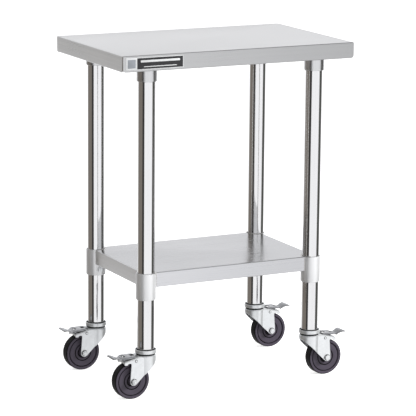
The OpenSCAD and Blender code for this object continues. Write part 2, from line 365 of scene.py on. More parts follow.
def moulded(name, colour, rough, contrast=0.25, bump=0.12, speckle=900.0, sheen=0.5, glow=0.0):
    """Moulded rubber, plastic or paint, with a fine skin and dusty patches."""
    material, add, place = shader(name)
    skin = grain_noise(add, place, (speckle, speckle, speckle), detail=3.0)
    dust = grain_noise(add, place, (45.0, 45.0, 45.0), detail=4.0)
    tones = two_tones(add, ranged(add, dust, 0.0, 1.0), colour, contrast, contrast)
    inputs = material.node_tree.nodes["Principled BSDF"].inputs
    inputs["Specular IOR Level"].default_value = sheen
    inputs["Emission Color"].default_value = (1.0, 1.0, 1.0, 1.0)
    inputs["Emission Strength"].default_value = glow
    return finished(material, add, tones, ranged(add, dust, rough - 0.07, rough + 0.07), skin, bump, 0.0002)


ALONG_X = (3.0, 900.0, 900.0)
ALONG_Y = (900.0, 3.0, 900.0)
ALONG_Z = (700.0, 700.0, 4.0)
# The top, the front and the ends of the worktop are one steel in three tones: painted light and shade for
# each face.
TOP_STEEL = steel("top_steel", (0.725, 0.73, 0.73), 0.30, ALONG_X, spread=0.02, bump=0.006, streak=0.012)
FRONT_STEEL = steel("front_steel", (0.605, 0.61, 0.61), 0.32, ALONG_X, bump=0.03, right_end_shade=0.80)
END_STEEL = steel("end_steel", (0.77, 0.78, 0.78), 0.32, ALONG_Y, streak=0.10)
# The shelf's top, front and ends are likewise one steel in three tones: painted light and shade for each
# face.
SHELF_STEEL = steel("shelf_steel", (0.535, 0.54, 0.55), 0.24, ALONG_X, bump=0.02, streak=0.025)
SHELF_FRONT_STEEL = steel("shelf_front_steel", (0.745, 0.75, 0.765), 0.30, ALONG_X, bump=0.03, right_end_shade=0.82)
SHELF_END_STEEL = steel("shelf_end_steel", (0.84, 0.85, 0.855), 0.32, ALONG_Y, streak=0.07)
CHANNEL_STEEL = steel("channel_steel", (0.60, 0.61, 0.62), 0.42, ALONG_X, streak=0.08)
SOCKET_STEEL = steel("socket_steel", (0.72, 0.725, 0.73), 0.30, (900.0, 900.0, 30.0), streak=0.06, bump=0.02)
COLLAR_STEEL = steel("collar_steel", (0.95, 0.955, 0.96), 0.40, (900.0, 900.0, 30.0), streak=0.04, bump=0.02,
                     metal=0.5)
LEG_STEEL = steel("leg_steel", (0.86, 0.86, 0.86), 0.085, ALONG_Z, spread=0.01, streak=0.02, bump=0.004)
BALL_STEEL = steel("ball_steel", (0.70, 0.70, 0.71), 0.12, (300.0, 300.0, 300.0))
WELD_STEEL = steel("weld_steel", (0.62, 0.60, 0.57), 0.30, (400.0, 400.0, 400.0), streak=0.15)
ZINC = zinc("bright_zinc", (0.86, 0.88, 0.89), 0.34, mottling=0.05, metal=0.6)
# Painted shade: near-black for the gaps, grooves, edges and undersides where shade falls.
PAINTED_SHADE = moulded("painted_shade_black", (0.030, 0.029, 0.030), 0.60, bump=0.05, sheen=0.2)
PEDAL_ZINC = zinc("pedal_zinc", (0.45, 0.46, 0.475), 0.30, mottling=0.08)
TREAD = moulded("tread_rubber", (0.007, 0.0065, 0.0075), 0.58, sheen=0.18)
FACE = moulded("wheel_face_rubber", (0.078, 0.066, 0.090), 0.48, contrast=0.12, sheen=0.3)
LABEL_DARK = moulded("label_dark", (0.018, 0.018, 0.020), 0.28, bump=0.03)
LABEL_LIGHT = moulded("label_light", (0.78, 0.79, 0.80), 0.30, contrast=0.05, bump=0.03)
LABEL_GREY = moulded("label_grey", (0.30, 0.32, 0.35), 0.30, contrast=0.08, bump=0.03)
FLOOR = moulded("floor_paint", (0.90, 0.90, 0.90), 0.70, contrast=0.004, bump=0.01, speckle=60.0, glow=0.7)


# ---------------------------------------------------------------- pieces

def piece(name, mesh, materials, body, nodes=(), place=None):
    """Puts a mesh in the frame as a piece that rides on a body and stands for CAD nodes."""
    obj = in_scene(name, mesh)
    if not mesh.materials:
        for material in materials:
            mesh.materials.append(material)
    if place is not None:
        obj.matrix_world = place
    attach(obj, body)
    if nodes:
        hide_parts(*nodes)
    return obj


def size_of(node):
    """A node's lowest and highest corners, in millimetres."""
    low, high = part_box(node)
    return low / MM, high / MM


def radius_of(node):
    """Radius of a node that is round about a vertical axis."""
    low, high = size_of(node)
    return (high.x - low.x) / 2


LEG_R = radius_of("leg_front_left")
COLLAR_R = radius_of("shelf_collar_front_left")


def leg_axis(corner):
    low, high = size_of(f"leg_{corner}")
    return (low.x + high.x) / 2, (low.y + high.y) / 2


def corner_place(corner):
    """From a leg's own frame, on the floor under its axis, to the row's frame."""
    x, y = leg_axis(corner)
    return Matrix.Translation((x * MM, y * MM, 0))


def caster_place(corner):
    """As corner_place, turned so that the wheel trails towards +X."""
    turn = 0 if "right" in corner else math.pi
    return corner_place(corner) @ Matrix.Rotation(turn, 4, "Z")


def at_corners(name, mesh, materials, body, node):
    """The same mesh as a piece at each leg, in place of that corner's node."""
    for corner in CORNERS:
        piece(f"{name}_{corner}", mesh, materials, body, [f"{node}_{corner}"], corner_place(corner))


# ---- sheet pans

SHEET = 1.2
BEND = 2.2       # outside radius of a bend between the surface and an edge
HEM = 1.8        # outside radius of the bend at the return lip
LIP = 12.0       # depth of the return lip


def pan_section(height, form, raised=0.0):
    """Section of a turned-down edge as (inwards, up) from the top of the edge.

    form is "lip" for an edge with its return lip, "plain" for a cut lower edge, raised by raised, and "flat"
    where the sheet has no turned-down edge.
    """
    steps = 5
    if form == "flat":
        return [(0, 0)] * (steps + 1) + [(0, -SHEET)] * (3 * steps + 5)

    def quarter(r):
        return arc(BEND, -BEND, r, 90, 180, steps)

    bend, inner = quarter(BEND), quarter(BEND - SHEET)
    low = -height + raised
    if form == "lip":
        outer_hem = arc(HEM, low + HEM, HEM, 180, 270, steps)
        inner_hem = arc(HEM, low + HEM, HEM - SHEET, 270, 180, steps)
        foot = outer_hem + [(LIP, low), (LIP, low + SHEET)] + inner_hem
    else:
        foot = arc(SHEET / 2, low + SHEET / 2, SHEET / 2, 180, 360, 2 * steps + 3)
    return bend + foot + list(reversed(inner))


def pan(name, top_z, stations, kinds):
    """Sweeps sections round a closed path, as one sheet.

    A station is (point, inward direction, section, kind of the stretch that follows).
    """
    size = len(stations[0][2])
    verts, faces, face_kinds = [], [], []
    for point, inward, section, _ in stations:
        for s, z in section:
            verts.append((point[0] + inward[0] * s, point[1] + inward[1] * s, top_z + z))
    count = len(stations)
    for i in range(count):
        n = (i + 1) % count
        for k in range(size - 1):
            faces.append([i * size + k, i * size + k + 1, n * size + k + 1, n * size + k])
            face_kinds.append(kinds[stations[i][3]])
    faces.append([i * size for i in range(count)])
    faces.append([i * size + size - 1 for i in range(count)])
    face_kinds += [0, 0]
    return mesh_from(name, verts, faces, face_kinds)


def sides(half_x, half_y):
    """The four sides, anticlockwise from the front: (start, direction, inward direction, length, kind)."""
    return [((-half_x, -half_y), (1, 0), (0, 1), 2 * half_x, "long"),
            ((half_x, -half_y), (0, 1), (-1, 0), 2 * half_y, "short"),
            ((half_x, half_y), (-1, 0), (0, -1), 2 * half_x, "long"),
            ((-half_x, half_y), (0, -1), (1, 0), 2 * half_y, "short")]


def offset(start, direction, distance):
    """The point at a distance from start."""
    return (start[0] + direction[0] * distance, start[1] + direction[1] * distance)


def worktop():
    low, high = size_of("worktop")
    height = high.z - low.z
    corner_r = 2.5      # vertical edge of a corner
    foot_r = 8.0        # rounded lower corner of each side
    lip_gap = 15.0      # where the return lip starts
    near = [3.2, 4.0, 5.0, 6.2, foot_r]

    def section(d):
        """Section at a distance from the corner, where the lower edge curves up."""
        d = max(0.0, min(d, foot_r))
        return pan_section(height, "plain", foot_r - math.sqrt(foot_r ** 2 - (foot_r - d) ** 2))

    stations = []
    for start, direction, inward, length, kind in sides(high.x, high.y):
        at = offset(start, direction, corner_r)
        centre = offset(at, inward, corner_r)
        first = math.degrees(math.atan2(-inward[1], -inward[0])) - 90
        for k in range(5):
            t = math.radians(first + 90 * k / 4)
            out = (math.cos(t), math.sin(t))
            point = offset(centre, out, corner_r)
            stations.append((point, (-out[0], -out[1]), section(corner_r * 0.4), kind))
        stretch = [(d, section(d)) for d in near]
        stretch += [(lip_gap, pan_section(height, "plain")), (lip_gap + 0.05, pan_section(height, "lip"))]
        stretch += [(length - d, ring) for d, ring in reversed(stretch)]
        stations += [(offset(start, direction, d), inward, ring, kind) for d, ring in stretch]
    # each side takes its own tone of the steel: painted light and shade
    mesh = smoothed(pan("worktop_sheet", high.z, stations, {"long": 1, "short": 2}), 25)
    piece("worktop_sheet", mesh, [TOP_STEEL, FRONT_STEEL, END_STEEL], "table", ["worktop"])


def undershelf():
    low, high = size_of("undershelf")
    leg_x, leg_y = leg_axis("back_right")
    height = high.z - low.z
    # how far from the virtual corner an edge ends, on the collar's circle
    cut_x = high.x - leg_x + math.sqrt(COLLAR_R ** 2 - (high.y - leg_y) ** 2)
    cut_y = high.y - leg_y + math.sqrt(COLLAR_R ** 2 - (high.x - leg_x) ** 2)
    buried = 0.5
    notch = 14
    stations = []
    for start, direction, inward, length, kind in sides(high.x, high.y):
        cut = cut_x if kind == "long" else cut_y
        stretch = [(cut - buried, "plain"), (cut + 2, "plain"), (cut + 2.05, "lip")]
        stretch += [(length - d, form) for d, form in reversed(stretch)]
        stations += [(offset(start, direction, d), inward, pan_section(height, form), kind)
                     for d, form in stretch]
        # the notch round the collar at the end of this side
        end = offset(start, direction, length)
        edge = offset(start, direction, length - cut)
        centre = (math.copysign(leg_x, end[0]), math.copysign(leg_y, end[1]))
        first = math.degrees(math.atan2(edge[1] - centre[1], edge[0] - centre[0]))
        sweep = notch_sweep(centre, edge, (high.x, high.y), COLLAR_R)
        for k in range(1, notch):
            t = math.radians(first + sweep * k / notch)
            out = (math.cos(t), math.sin(t))
            stations.append((offset(centre, out, COLLAR_R), out, pan_section(height, "flat"), kind))
    # each side takes its own tone of the steel: painted light and shade
    mesh = smoothed(pan("undershelf_sheet", high.z, stations, {"long": 1, "short": 2}), 25)
    piece("undershelf_sheet", mesh, [SHELF_STEEL, SHELF_FRONT_STEEL, SHELF_END_STEEL], "shelf",
          ["undershelf"])


def notch_sweep(centre, start, half, r):
    """The clockwise angle, in degrees, from the end of one side to the start of the next, round a collar."""
    sx, sy = math.copysign(1, centre[0]), math.copysign(1, centre[1])
    on_x_side = (sx * half[0] - centre[0], -sy * math.sqrt(r ** 2 - (half[0] - abs(centre[0])) ** 2))
    on_y_side = (-sx * math.sqrt(r ** 2 - (half[1] - abs(centre[1])) ** 2), sy * half[1] - centre[1])
    a = Vector((start[0] - centre[0], start[1] - centre[1]))
    b = Vector(on_y_side if (a - Vector(on_x_side)).length < 1 else on_x_side)
    turn = math.degrees(math.atan2(b.y, b.x) - math.atan2(a.y, a.x))
    return (turn % 360) - 360


# ---- legs, sockets and collars

def ring_outline(r_in, r_out, low, high, edge):
    """Section of a tube with rounded ends."""
    corners = ((r_out - edge, low + edge, -90), (r_out - edge, high - edge, 0),
               (r_in + edge, high - edge, 90), (r_in + edge, low + edge, 180))
    return [point for x, y, first in corners for point in arc(x, y, edge, first, first + 90, 4)]


def legs():
    low, high = size_of("leg_front_left")
    mesh = smoothed(lathe("leg_tube", ring_outline(LEG_R - SHEET, LEG_R, low.z, high.z, 0.3), 128))
    at_corners("leg_tube", mesh, [LEG_STEEL], "table", "leg")


def sockets():
    """Plate with rounded corners and a collar with a soft weld radius under it."""
    low, high = size_of("leg_socket_front_left")
    bore_r = LEG_R + 0.05
    half = (high.x - low.x) / 2
    plate_low = high.z - 3.0
    weld = 4.0
    top = plate("socket_plate", rectangle(-half, half, -half, half, 10, 6), plate_low, high.z, 0.5)
    outline = arc(COLLAR_R - 1, low.z + 1, 1, -90, 0, 5)
    outline += arc(COLLAR_R + weld, plate_low - weld, weld, 180, 90, 6)
    outline += [(COLLAR_R + weld, plate_low + 0.8), (bore_r, plate_low + 0.8)]
    outline += arc(bore_r + 0.6, low.z + 0.6, 0.6, 180, 270, 3)
    collar = lathe("socket_collar", outline, 96)
    mesh = smoothed(solid("leg_socket_shell", [collar, ("UNION", top)]))
    at_corners("leg_socket_shell", mesh, [SOCKET_STEEL], "table", "leg_socket")


def collars():
    low, high = size_of("shelf_collar_front_left")
    bore_r = LEG_R + 0.07
    outline = ring_outline(bore_r, COLLAR_R, low.z, high.z, 0.9)
    # painted shade: the collar's inner top edge against the leg is dark
    kinds = marked(outline, lambda radius, z: radius < bore_r + 1 and z > high.z - 2)
    mesh = smoothed(lathe("shelf_collar_ring", outline, 96, kinds=kinds))
    at_corners("shelf_collar_ring", mesh, [COLLAR_STEEL, PAINTED_SHADE], "shelf", "shelf_collar")


def hex_head(name, across, height, low=0.0):
    """Hexagon head along +Z, across its flats, with the turned chamfer of a real bolt head."""
    steps = 72
    flat = across / 2
    crown = flat * 0.94
    lean = math.tan(math.radians(30))
    rings = [[], [], []]
    for k in range(steps):
        t = 2 * math.pi * k / steps
        from_flat = (t + math.pi / 6) % (math.pi / 3) - math.pi / 6
        r = flat / math.cos(from_flat)
        drop = max(0.0, r - crown) * lean
        for ring, radius, z in zip(rings, (r, r, crown), (low, low + height - drop, low + height)):
            ring.append((radius * math.cos(t), radius * math.sin(t), z))
    return loft(name, rings)


def set_screws():
    """One group of hexagon set screws for the sockets and one for the shelf's collars."""
    for node, body, reach in (("socket_screws", "table", 0.0), ("shelf_screws", "shelf", 0.3)):
        low, high = size_of(node)
        z = (low.z + high.z) / 2
        tip = LEG_R + reach
        end = COLLAR_R + 1
        shank = lathe("screw_shank", [(0, tip), (3.3, tip), (3.95, tip + 0.6), (3.95, end), (0, end)], 32)
        head = hex_head("screw_head", 11.3, 4.5, COLLAR_R + 0.4)
        screw = solid("set_screw", [shank, ("UNION", head)])
        screws = []
        for corner in CORNERS:
            x, y = leg_axis(corner)
            turn = -90 if "front" in corner else 90
            place = Matrix.Translation((x * MM, y * MM, z * MM)) @ Matrix.Rotation(math.radians(turn), 4, "X")
            screws.append(moved(screw, place))
        piece(f"{node}_group", smoothed(joined(node, screws)), [ZINC], body, [node])


def bead(name, path, across, up):
    """Weld bead along a path of points, with uneven ripples and tapered ends.

    Its section lies in the plane of up and the direction that across gives for a point.
    """
    half_width, count = 0.9, 8
    flatness = 0.6
    angles = [2 * math.pi * s / count for s in range(count)]
    rings = []
    for k, point in enumerate(path):
        swell = half_width * (1 + 0.18 * math.sin(k * 1.9))
        if k in (0, len(path) - 1):
            swell *= 0.35
        rings.append([tuple(point + swell * (math.cos(a) * across(point) + flatness * math.sin(a) * up))
                      for a in angles])
    return loft(name, rings)


def welds():
    """Welds round each collar on the shelf's surface, and down the two edges that end on the collar."""
    low, high = size_of("undershelf")
    leg_x, leg_y = leg_axis("back_right")
    reach_x, reach_y = high.x - leg_x, high.y - leg_y
    start = math.degrees(math.asin(reach_x / COLLAR_R)) - 90
    stop = 90 + math.degrees(math.asin(reach_y / COLLAR_R)) - 360

    def outwards(point):
        return Vector((point.x, point.y, 0)).normalized()

    r = COLLAR_R + 0.1
    turns = [math.radians(mix(start - 2, stop + 2, k / 60)) for k in range(61)]
    seam = [Vector((r * math.cos(t), r * math.sin(t), high.z - 0.1)) for t in turns]
    beads = [bead("weld_round", seam, outwards, Vector((0, 0, 1)))]
    ends = [(reach_x, -math.sqrt(COLLAR_R ** 2 - reach_x ** 2)),
            (-math.sqrt(COLLAR_R ** 2 - reach_y ** 2), reach_y)]
    for x, y in ends:
        seam = [Vector((x, y, mix(high.z - 1.5, low.z + 1.0, k / 24))) for k in range(25)]
        beads.append(bead("weld_down", seam, outwards, Vector((-y, x, 0)).normalized()))
    bead_mesh = smoothed(joined("weld_beads", beads), 60)
    for corner in CORNERS:
        sx, sy = (1 if "right" in corner else -1), (1 if "back" in corner else -1)
        mesh = moved(bead_mesh, Matrix.Diagonal((sx, sy, 1, 1)))
        piece(f"weld_bead_{corner}", mesh, [WELD_STEEL], "shelf", place=corner_place(corner))


# ---- channels and label

def hat_mesh(name, length, web, width, low, high):
    """Hat channel along X from a bent strip, with rounded bends."""
    top, base, bend = high - SHEET / 2, low + SHEET / 2, 2
    line = [(-width / 2, top, 0), (-web / 2, top, bend), (-web / 2, base, bend),
            (web / 2, base, bend), (web / 2, top, bend), (width / 2, top, 0)]
    middle = [Vector(p) for p in filleted(line, closed=False)]
    upper, lower = [], []
    for i, p in enumerate(middle):
        before = middle[max(0, i - 1)]
        after = middle[min(len(middle) - 1, i + 1)]
        d = (after - before).normalized()
        n = Vector((-d.y, d.x)) * SHEET / 2
        upper.append(tuple(p + n))
        lower.append(tuple(p - n))
    outline = upper + list(reversed(lower))
    return smoothed(loft(name, [[(x, y, z) for y, z in outline] for x in (-length / 2, length / 2)]))


def channels():
    low, high = size_of("centre_channel")
    web = 62.0
    mesh = hat_mesh("centre_channel_hat", high.x - low.x, web, high.y - low.y, low.z, high.z)
    piece("centre_channel_hat", mesh, [CHANNEL_STEEL], "table", ["centre_channel"])
    low, high = size_of("side_channel_left")
    mesh = hat_mesh("side_channel_hat", high.y - low.y, web, high.x - low.x, low.z, high.z)
    for side, x in (("left", leg_axis("front_left")[0]), ("right", leg_axis("front_right")[0])):
        place = Matrix.Translation((x * MM, 0, 0)) @ Matrix.Rotation(math.pi / 2, 4, "Z")
        piece(f"side_channel_hat_{side}", mesh, [CHANNEL_STEEL], "table",
              [f"side_channel_{side}"], place)


def label():
    """A blank plate: a grey square and a dark field with two plain rules, in a thin light border."""
    low, high = size_of("label_plate")
    skin, face = high.y - low.y, low.y
    height = high.z - low.z
    light, dark, grey = range(3)
    fields = [(low.x, high.x, low.z, high.z, 0.0, light),
              (low.x + 4, low.x + height - 4, low.z + 4, high.z - 4, 0.06, grey),
              (low.x + height, high.x - 1.2, low.z + 1.2, high.z - 1.2, 0.06, dark),
              (low.x + height + 9, high.x - 9, high.z - 11.5, high.z - 6.5, 0.10, light),
              (low.x + height + 17, high.x - 17, low.z + 5.5, low.z + 7.3, 0.10, light)]
    made = []
    for x0, x1, z0, z1, proud, kind in fields:
        field = plate("label_field", rectangle(x0, x1, z0, z1, 0.8), face - proud, face + skin, 0.05, "XZ")
        for side in field.polygons:
            side.material_index = kind
        made.append(field)
    mesh = smoothed(joined("label_blank", made))
    piece("label_blank", mesh, [LABEL_LIGHT, LABEL_DARK, LABEL_GREY], "table", ["label_plate"])


# ---- casters, in the caster's own frame: swivel axis on Z, wheel trailing towards +X

swivel = Vector(JOINTS["swivel_turn_front_right"]["pos_m"]) / MM
axle = Vector(JOINTS["wheel_spin_front_right"]["pos_m"]) / MM - swivel
pin = Vector(JOINTS["pedal_press_front_right"]["pos_m"]) / MM - swivel
TRAIL, AXLE_Z = axle.x, axle.z + swivel.z
PIN_X, PIN_Z = pin.x, pin.z + swivel.z


def local_box(node):
    """A front right caster node's box in the caster's own frame, in millimetres."""
    low, high = size_of(f"{node}_front_right")
    shift = Vector((swivel.x, swivel.y, 0))
    return low - shift, high - shift


FORK_END = local_box("fork")[1].x
CUP_LOW, CUP_HIGH = local_box("caster_cup")
PEDAL_TIP = local_box("brake_pedal")[1].x
FORK_HALF = 21.0        # half the fork's width over its plates
PLATE_T = 2.5           # thickness of the fork's plates
HEAD_R = 25.0           # the fork's round head about the swivel axis
FRONT_Z = 94.5          # lower edge of the head's front
CROWN_TOP = 103.8
CROWN_BOTTOM = 97.5
RACE_R = 22.9           # lower race, turned on the fork's head
RACE_TOP = 107.0
END_R = 9.3             # the rounded end round the axle
SLOT_LOW = 90.0         # height inside the fork's hollow from which slots are cut upwards
POCKET = (31.0, 44.0)   # shallow pocket in the fork's top plate, from x to x
POCKET_HALF = 6.0       # half its width
KINGPIN_R = 6.0
BALL_PATH_R = 18.0      # circle of the bearing balls' centres
GROOVE_R = 3.3          # section of the grooves that hold the balls
AXLE_R = 4.0            # holes for the axle bolt, and its thread's nominal size
AXLE_HEX = 12.5         # across the flats of the bolt's head and the nut
PIN_R = 2.0             # brake pin
RIVET_R = 3.6           # the brake pin's heads, and the ears round the pin
WASHER_T = 1.2
PEDAL_START = 29        # x of the pedal's inner end
PEDAL_WINDOWS = ((32, 42, 5.5), (55.6, 61.2, 6.5))      # from x, to x, half width


def crosswise(x, z, y=0.0, turn=90):
    """From a lathe's Z axis to one that lies across the caster at x and z. A turn of -90 faces +Y."""
    return Matrix.Translation((x * MM, y * MM, z * MM)) @ Matrix.Rotation(math.radians(turn), 4, "X")


def cup_mesh():
    """The upper race: a turned shoulder, a rolled rim, a groove round the leg painted dark as shade and one
    for the balls.
    """
    r, z0, z1 = CUP_HIGH.x, CUP_LOW.z, CUP_HIGH.z
    rim_top = z1 - 2.2
    bore_r = KINGPIN_R + 0.02
    neck_r = 21.0       # inside of the groove round the leg, painted dark as shade
    outline = [(bore_r, z0 + 3.5), (13, z0 + 3.5)] + arc(BALL_PATH_R, z0 + 1.2, GROOVE_R, 150, 30, 8)
    outline += [(r - 2.5, z0 + 3.5), (r - 2.5, z0 + 0.4), (r - 2.1, z0), (r - 0.9, z0)]
    outline += arc(r - 0.9, z0 + 0.9, 0.9, -90, 0, 4) + arc(r - 1.4, rim_top - 1.4, 1.4, 0, 115, 7)
    outline += [(r - 2.6, rim_top - 0.6), (r - 3.0, rim_top - 2.4)]
    outline += [(neck_r + 0.3, rim_top - 2.4), (neck_r, rim_top - 2.0)]
    outline += [(neck_r, z1 - 0.2), (neck_r - 0.2, z1), (bore_r, z1)]
    # painted shade: the groove round the leg and the inside of the rim are dark
    kinds = marked(outline, lambda radius, z: neck_r - 0.1 < radius < r - 2.5 and z > rim_top - 3)
    return smoothed(lathe("cup", outline, 96, kinds=kinds), 28)


def stem_mesh():
    """Plug with its shallow knurled grooves, the kingpin and the peened end."""
    low, high = local_box("caster_stem")
    r = high.x
    pitch = 5
    grooves = []
    z = CUP_HIGH.z + pitch
    while z < high.z - pitch:
        grooves += [(r, z), (r - 0.7, z + 0.8), (r - 0.7, z + 1.6), (r, z + 2.4)]
        z += pitch
    peen_r, peen_z = 9.5, low.z + 5.6
    peen = filleted([(0, low.z, 0), (6.5, low.z, 1.4), (peen_r, low.z + 1.8, 1.2), (peen_r, peen_z, 0.5),
                     (KINGPIN_R, peen_z, 0)], closed=False)
    outline = peen + [(KINGPIN_R, CUP_HIGH.z), (r - 0.4, CUP_HIGH.z), (r, CUP_HIGH.z + 0.4)] + grooves
    outline += [(r, high.z - 1), (r - 1, high.z), (0, high.z)]
    return smoothed(lathe("stem", outline, 64), 28)


def fork_section(x, top, half, r):
    """Ring in Y and Z at x: a block with rounded upper corners, which runs lower than the fork."""
    low = 20.0
    points = [(-half, low), (half, low)]
    points += arc(half - r, top - r, r, 0, 90, 6) + arc(-half + r, top - r, r, 90, 180, 6)
    return [(x, y, z) for y, z in points]


def fork_side():
    """Side outline of the fork in X and Z, with its rounded lobe, axle end and slanted leading edge."""
    front, front_z = -HEAD_R - 1, FRONT_Z + 0.9
    over = CROWN_TOP + 8
    lead = Vector((front - TRAIL, front_z - AXLE_Z))
    touch = math.degrees(math.atan2(lead.y, lead.x) + math.acos(END_R / lead.length))
    foot = arc(TRAIL, AXLE_Z, END_R, 0, touch - 360, 18)
    upper = filleted([(front, over, 0), (FORK_END + 2, over, 0), (FORK_END + 2, 90, 0),
                      (FORK_END - 1.5, 86.6, 3.2), (56.4, 86.2, 3.0), (54.6, 89.9, 2.0),
                      (TRAIL + 5.9, 90.3, 3.4), (TRAIL + END_R, AXLE_Z, 0)], closed=False, steps=6)
    return upper[:-1] + foot + [(front, front_z)]


def fork_head(name, r, top, edge):
    """Round block about the swivel axis with a rounded shoulder."""
    return lathe(name, [(0, 19), (r, 19)] + arc(r - edge, top - edge, edge, 0, 90, 6) + [(0, top)], 128)


def fork_mesh():
    """Pressed fork: two plates that run out of a round head, open below, with the lower race on top."""
    bend_r, inner_r = 4.2, 1.8
    slope_start, slope_end = (26, CROWN_TOP - 0.5), (FORK_END - 2.5, 95.0)
    tops = [(0, CROWN_TOP), (22, CROWN_TOP), slope_start, slope_end,
            (FORK_END - 0.8, 93.6), (FORK_END - 0.1, 91.4), (FORK_END, 89.0)]
    outer = loft("fork_outer", [fork_section(x, top, FORK_HALF, bend_r) for x, top in tops])
    tops = [(0, CROWN_BOTTOM), (20, CROWN_BOTTOM), (23, 101.0),
            (FORK_END - 4, 92.9), (FORK_END - 2.2, 91.2), (FORK_END + 4, 88.0)]
    hollow = loft("fork_hollow", [fork_section(x, top, FORK_HALF - PLATE_T, inner_r) for x, top in tops])
    inner_head = fork_head("hollow_head", HEAD_R - PLATE_T, CROWN_BOTTOM, inner_r)
    hollow = solid("fork_hollow", [hollow, ("UNION", inner_head)])
    side = loft("fork_side", [[(x, y, z) for x, z in fork_side()] for y in (-30, 30)])
    race_low = CROWN_TOP - 0.8
    race = lathe("fork_race", [(0, race_low), (RACE_R - 0.6, race_low), (RACE_R, race_low + 0.6),
                               (RACE_R, RACE_TOP - 0.6), (RACE_R - 0.6, RACE_TOP), (0, RACE_TOP)], 96)
    bore_r = KINGPIN_R + 0.05
    bore = lathe("fork_bore", [(0, 90), (bore_r, 90), (bore_r, 110), (0, 110)], 64)
    groove = lathe("fork_groove", arc(BALL_PATH_R, 109.2, GROOVE_R, 0, 360, 24)[:-1], 64)

    def cross_hole(x, z, r):
        hole = lathe("hole", [(0, -30), (r, -30), (r, 30), (0, 30)], 40)
        return moved(hole, crosswise(x, z))

    def slope(x):
        """Height of the sloping top plate."""
        (x0, z0), (x1, z1) = slope_start, slope_end
        return mix(z0, z1, (x - x0) / (x1 - x0))

    def slot_cut(x0, x1, y0, y1, r):
        return plate("slot", rectangle(x0, x1, y0, y1, r), SLOT_LOW, CROWN_TOP + 10, 0.01)

    pocket = [(x, slope(x) - 0.8) for x in POCKET] + [(x, 115) for x in reversed(POCKET)]
    cuts = [cross_hole(TRAIL, AXLE_Z, AXLE_R), cross_hole(PIN_X, PIN_Z, PIN_R + 0.02),
            slot_cut(28, 40, 8, 12, 1.9), slot_cut(28, 40, -12, -8, 1.9),      # for the pedal's ears
            slot_cut(48, 58, -8, 8, 2.5),                                      # for the brake shoe
            plate("pocket", pocket, -POCKET_HALF, POCKET_HALF, 0.01, "XZ")]
    head = fork_head("fork_head", HEAD_R, CROWN_TOP, bend_r)
    steps = [outer, ("UNION", head), ("INTERSECT", side), ("DIFFERENCE", hollow), ("UNION", race)]
    mesh = solid("fork", steps + [("DIFFERENCE", cut) for cut in [bore, groove] + cuts])
    mesh = softened(mesh, 0.3, 2, 50)
    # painted shade: the race ring's outside and the pocket's floor under the pedal's windows are dark
    for face in mesh.polygons:
        x, y, z = face.center / MM
        on_race = z > CROWN_TOP + 0.1 and math.hypot(x, y) > BALL_PATH_R + GROOVE_R
        in_pocket = POCKET[0] < x < POCKET[1] and abs(y) < POCKET_HALF - 0.1 and z > 97
        if on_race or (in_pocket and face.normal.z > 0.5):
            face.material_index = 1
    return smoothed(mesh, 30)


def washer_mesh(bore_r):
    """Flat washer, all of it painted dark as shade."""
    outline = ring_outline(bore_r, 7.6, 0, WASHER_T, 0.25)
    return lathe("washer", outline, 64, kinds=[1] * len(outline))


def bolt_mesh():
    """Axle bolt: chamfered hexagon head on a washer at the -Y side, and a threaded end at the +Y side."""
    bolt_end = local_box("axle_bolt")[1].y
    shank_r, shank_end = AXLE_R - 0.1, -2 * FORK_HALF - 0.6
    pitch = 0.7
    thread = []
    z = -2 * FORK_HALF - 1
    while z > -2 * FORK_HALF - 7:
        thread += [(AXLE_R - 0.03, z), (3.55, z - pitch / 2)]
        z -= pitch
    end = -(bolt_end + FORK_HALF)
    shank = lathe("shank", [(0, 1.5), (shank_r, 1.5), (shank_r, shank_end)] + thread
                  + [(3.5, end + 0.5), (2.9, end), (0, end)], 48)
    head = moved(hex_head("head", AXLE_HEX, 4.4), Matrix.Translation((0, 0, WASHER_T * MM)))
    bolt = solid("bolt", [shank, ("UNION", head)])
    mesh = joined("axle_bolt", [bolt, washer_mesh(shank_r)])
    return smoothed(moved(mesh, crosswise(TRAIL, AXLE_Z, -FORK_HALF)))


def nut_mesh():
    """Axle nut with its nylon collar step, on a washer, at the +Y side."""
    body = hex_head("nut_body", AXLE_HEX, 4.6)
    outline = [(0, 3.0), (5.6, 3.0), (5.6, 5.2)] + arc(4.9, 5.2, 0.7, 0, 90, 4) + [(0, 5.9)]
    dome = lathe("nut_dome", outline, 48)
    bore_r = AXLE_R - 0.01
    bore = lathe("nut_bore", [(0, -1), (bore_r, -1), (bore_r, 8), (0, 8)], 40)
    nut = solid("nut", [body, ("UNION", dome), ("DIFFERENCE", bore)])
    mesh = joined("axle_nut", [moved(nut, Matrix.Translation((0, 0, WASHER_T * MM))), washer_mesh(AXLE_R)])
    return smoothed(moved(mesh, crosswise(TRAIL, AXLE_Z, FORK_HALF, -90)))


